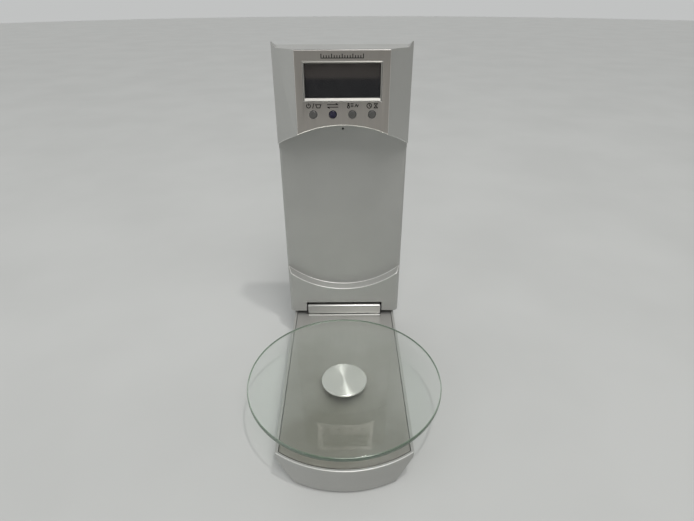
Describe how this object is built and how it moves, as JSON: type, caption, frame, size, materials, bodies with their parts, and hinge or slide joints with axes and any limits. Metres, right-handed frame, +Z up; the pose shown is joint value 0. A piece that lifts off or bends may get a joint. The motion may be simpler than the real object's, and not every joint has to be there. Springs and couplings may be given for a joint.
{
  "type": "kitchen scale",
  "caption": "Fold-down digital kitchen scale: low base with a round glass platter, and a hinged upright panel with display, buttons and wall slots.",
  "frame": {"origin": "on the surface it stands on, under the middle of the bounding box", "axes": "+Z up, -Y towards the user, +X to the user's right"},
  "size_m": [0.15, 0.2014, 0.2646],
  "materials": {
    "silver_paint": "satin silver metallic paint",
    "rear_plastic": "silver paint over a fine moulded grain",
    "fascia_metal": "fine vertical brushing, warm grey",
    "bezel_silver": "satin metallised plastic",
    "window_clear": "clear polished",
    "lcd_dark": "dark smooth",
    "rubber_black": "matt",
    "board_green": "solder resist",
    "black_plastic": "moulded",
    "plated_steel": "plated",
    "black_steel": "blackened",
    "battery_sleeve": "printed sleeve, plain",
    "lead_sheath": "matt sheath",
    "deck_plastic": "moulded",
    "brushed_plate": "brushed along its length",
    "cell_aluminium": "milled",
    "hub_plastic": "moulded",
    "spun_disc": "spun, fine circular grooves",
    "clear_glass": "polished, green edge",
    "button_grey": "satin",
    "button_black": "satin"
  },
  "bodies": {
    "base": {"base_housing": "silver_paint", "deck_frame": "deck_plastic", "deck_plate": "brushed_plate", "hinge_barrel": "silver_paint", "load_cell": "cell_aluminium", "cell_lead": "lead_sheath", "foot_1": "rubber_black", "foot_2": "rubber_black", "foot_3": "rubber_black", "foot_4": "rubber_black", "base_screw_1": "plated_steel", "base_screw_2": "plated_steel", "base_screw_3": "plated_steel", "base_screw_4": "plated_steel", "load_cell_screw_1": "plated_steel", "load_cell_screw_2": "plated_steel"},
    "panel": {"panel_housing": "silver_paint", "rear_cover": "rear_plastic", "display_fascia": "fascia_metal", "lcd_bezel": "bezel_silver", "lcd_window": "window_clear", "lcd_cell": "lcd_dark", "zebra_strip": "rubber_black", "main_board": "board_green", "controller_chip": "black_plastic", "clock_crystal": "plated_steel", "buzzer": "black_plastic", "temperature_probe": "black_plastic", "tact_switch_1": "black_plastic", "tact_switch_2": "black_plastic", "tact_switch_3": "black_plastic", "tact_switch_4": "black_plastic", "battery_1": "battery_sleeve", "battery_2": "battery_sleeve", "battery_contact_left": "plated_steel", "battery_contact_right": "plated_steel", "cover_screw_1": "plated_steel", "cover_screw_2": "plated_steel", "cover_screw_3": "plated_steel", "cover_screw_4": "plated_steel", "hinge_bracket_left": "black_steel", "hinge_bracket_right": "black_steel", "hinge_pin_left": "plated_steel", "hinge_pin_right": "plated_steel", "panel_lead": "lead_sheath", "stop_pad_left": "rubber_black", "stop_pad_right": "rubber_black"},
    "platter": {"platter_bracket": "cell_aluminium", "platter_hub": "hub_plastic", "platter_disc": "spun_disc", "glass_plate": "clear_glass", "bracket_screw_1": "plated_steel", "bracket_screw_2": "plated_steel"},
    "tare_button": {"tare_button": "button_grey"},
    "unit_button": {"unit_button": "button_black"},
    "temperature_button": {"temperature_button": "button_grey"},
    "clock_button": {"clock_button": "button_grey"},
    "battery_door": {"battery_door": "rear_plastic"}
  },
  "joints": [
    {"name": "panel_fold", "type": "hinge", "parent": "base", "child": "panel", "pos_m": [0, 0.07595, 0.0283], "axis": [1, 0, 0], "range_deg": [0, 90]},
    {"name": "platter_load", "type": "slide", "parent": "base", "child": "platter", "axis": [0, 0, -1], "range_m": [0, 0.0004], "stiffness_N_per_m": 60000},
    {"name": "tare_button_press", "type": "slide", "parent": "panel", "child": "tare_button", "axis": [0, 1, 0], "range_m": [0, 0.0005], "stiffness_N_per_m": 2500},
    {"name": "unit_button_press", "type": "slide", "parent": "panel", "child": "unit_button", "axis": [0, 1, 0], "range_m": [0, 0.0005], "stiffness_N_per_m": 2500},
    {"name": "temperature_button_press", "type": "slide", "parent": "panel", "child": "temperature_button", "axis": [0, 1, 0], "range_m": [0, 0.0005], "stiffness_N_per_m": 2500},
    {"name": "clock_button_press", "type": "slide", "parent": "panel", "child": "clock_button", "axis": [0, 1, 0], "range_m": [0, 0.0005], "stiffness_N_per_m": 2500},
    {"name": "battery_door_swing", "type": "hinge", "parent": "panel", "child": "battery_door", "pos_m": [0, 0.10075, 0.244], "axis": [1, 0, 0], "range_deg": [0, 100]}
  ]
}
